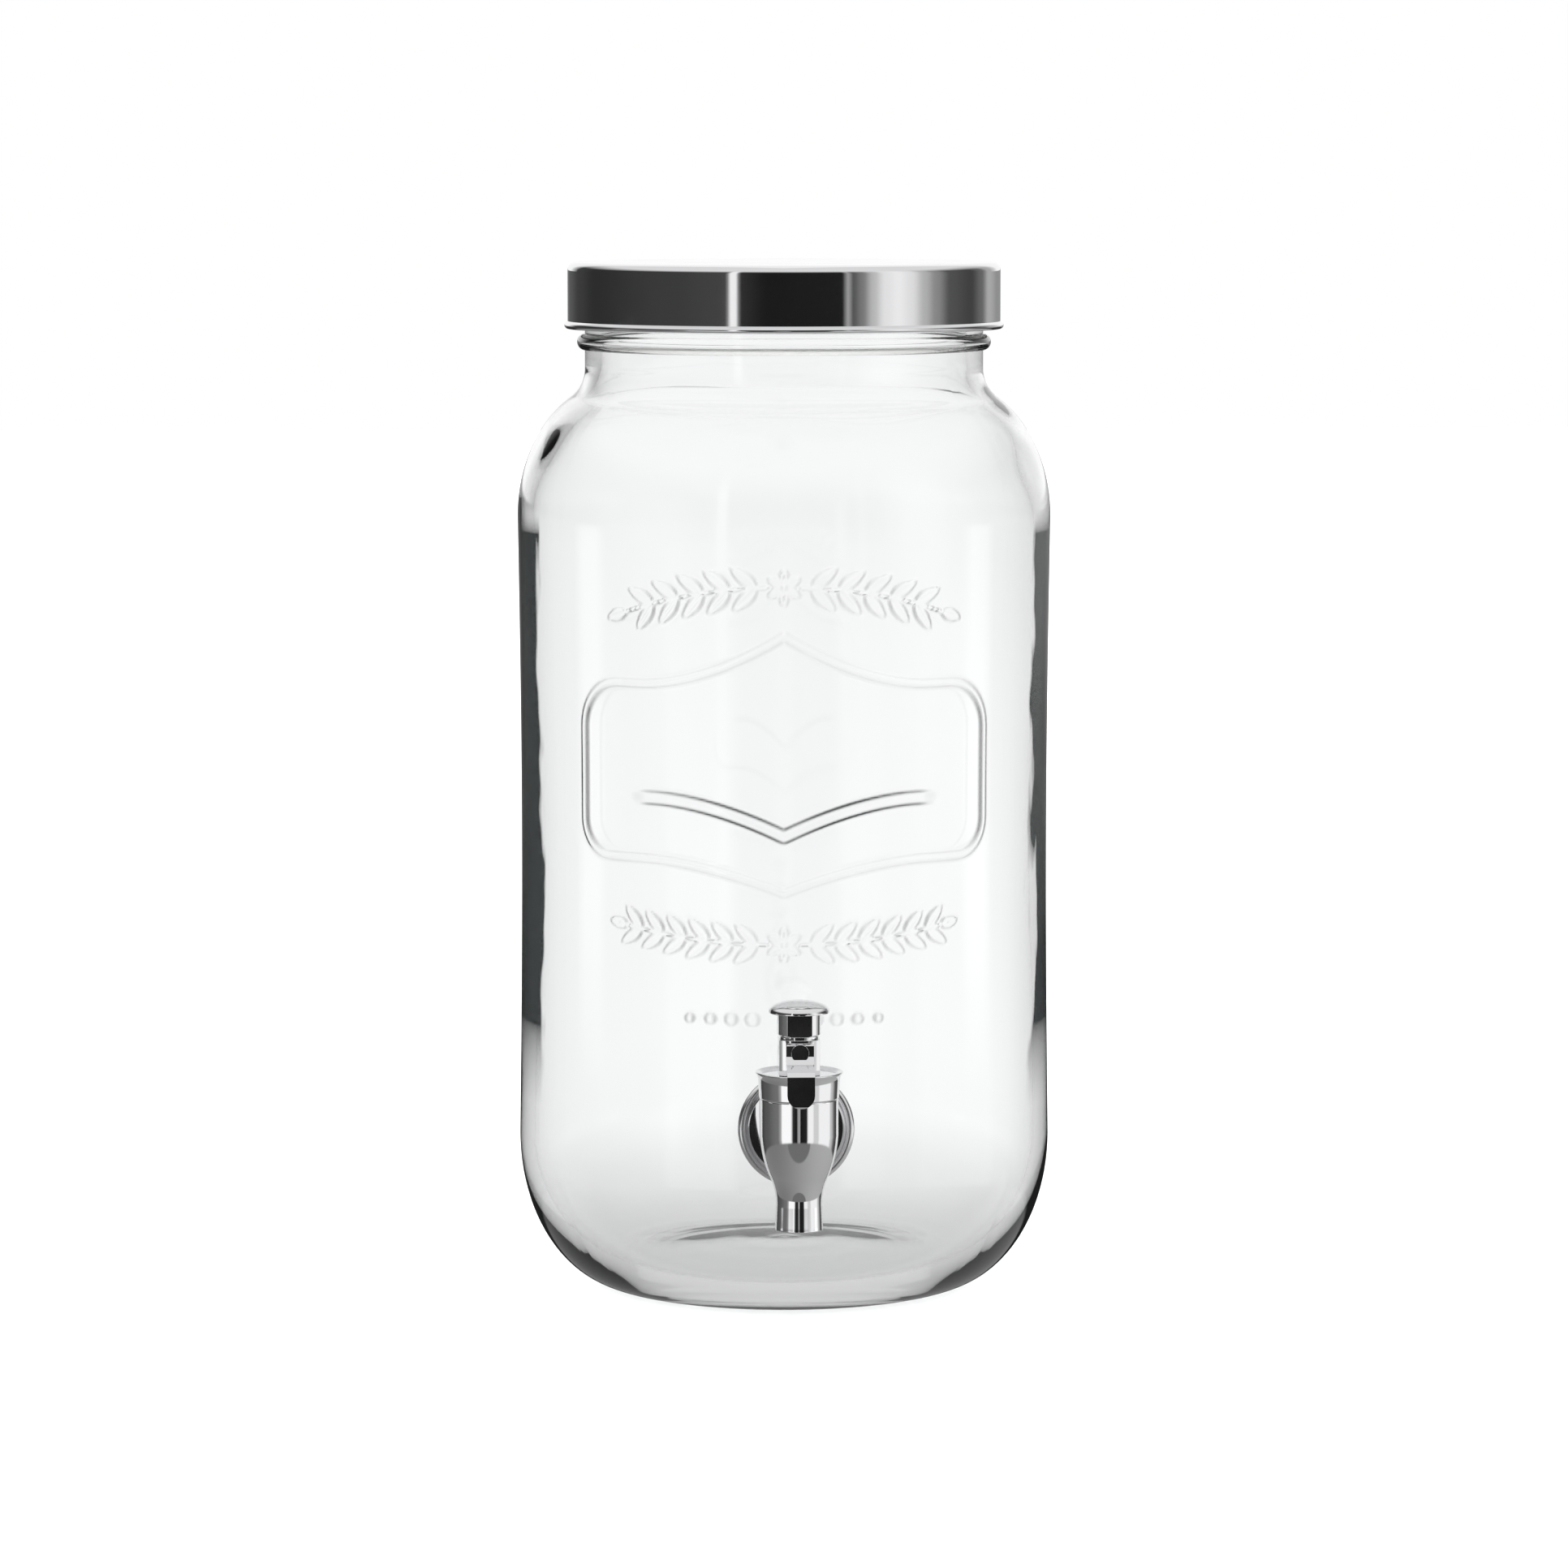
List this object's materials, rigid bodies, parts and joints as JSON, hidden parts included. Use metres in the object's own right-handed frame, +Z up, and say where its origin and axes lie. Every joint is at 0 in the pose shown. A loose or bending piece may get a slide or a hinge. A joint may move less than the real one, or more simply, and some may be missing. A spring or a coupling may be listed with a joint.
{
  "type": "beverage dispenser",
  "caption": "Tall glass jar drinks dispenser with moulded ornament, a screw-on metal lid and a chromed lever tap low on its front.",
  "frame": {"origin": "centre of the ring that the jar stands on, on the jar's axis", "axes": "+Z up along the jar's axis, -Y towards the tap, +X to the right of someone who faces the tap"},
  "size_m": [0.165, 0.2037, 0.318],
  "materials": {
    "clear_glass": "clear pressed glass, fire polished",
    "lid_metal": "bright spun steel, mirror finish with faint turning marks",
    "tap_chrome": "polished chrome plate",
    "nut_steel": "plain machined stainless steel",
    "spring_steel": "drawn stainless wire",
    "white_plastic": "moulded food-grade plastic",
    "silicone": "translucent white silicone",
    "black_rubber": "moulded black rubber"
  },
  "bodies": {
    "jar": {"jar": "clear_glass", "tap_flange": "tap_chrome", "tap_body": "tap_chrome", "outer_gasket": "silicone", "inner_gasket": "silicone", "inner_washer": "white_plastic", "lock_nut": "nut_steel", "bonnet": "tap_chrome", "bonnet_seal": "black_rubber", "return_spring": "spring_steel"},
    "lid_seal": {"lid_gasket": "silicone"},
    "lid": {"lid_shell": "lid_metal", "lid_insert": "white_plastic"},
    "valve": {"valve_stem": "nut_steel", "stem_o_ring": "black_rubber", "seat_cup": "silicone"},
    "lever": {"lever": "tap_chrome", "pivot_pin": "nut_steel"}
  },
  "joints": [
    {"name": "lid_rise", "type": "slide", "parent": "jar", "child": "lid_seal", "axis": [0, 0, 1], "range_m": [0, 0.024]},
    {"name": "lid_turn", "type": "hinge", "parent": "lid_seal", "child": "lid", "pos_m": [0, 0, 0.308], "axis": [0, 0, 1], "range_deg": [0, 1440]},
    {"name": "stem_lift", "type": "slide", "parent": "jar", "child": "valve", "axis": [0, 0, 1], "range_m": [0, 0.0036], "deforming": ["return_spring"]},
    {"name": "lever_tilt", "type": "hinge", "parent": "valve", "child": "lever", "pos_m": [0, -0.106, 0.088], "axis": [-1, 0, 0], "range_deg": [0, 45], "stiffness_Nm_per_rad": 0.03, "springref_deg": -17.19}
  ],
  "couplings": [
    {"joint": "lid_rise", "follows": "lid_turn", "m_per_rad": 0.0009549},
    {"joint": "lever_tilt", "follows": "stem_lift", "rad_per_m": 218.17}
  ]
}
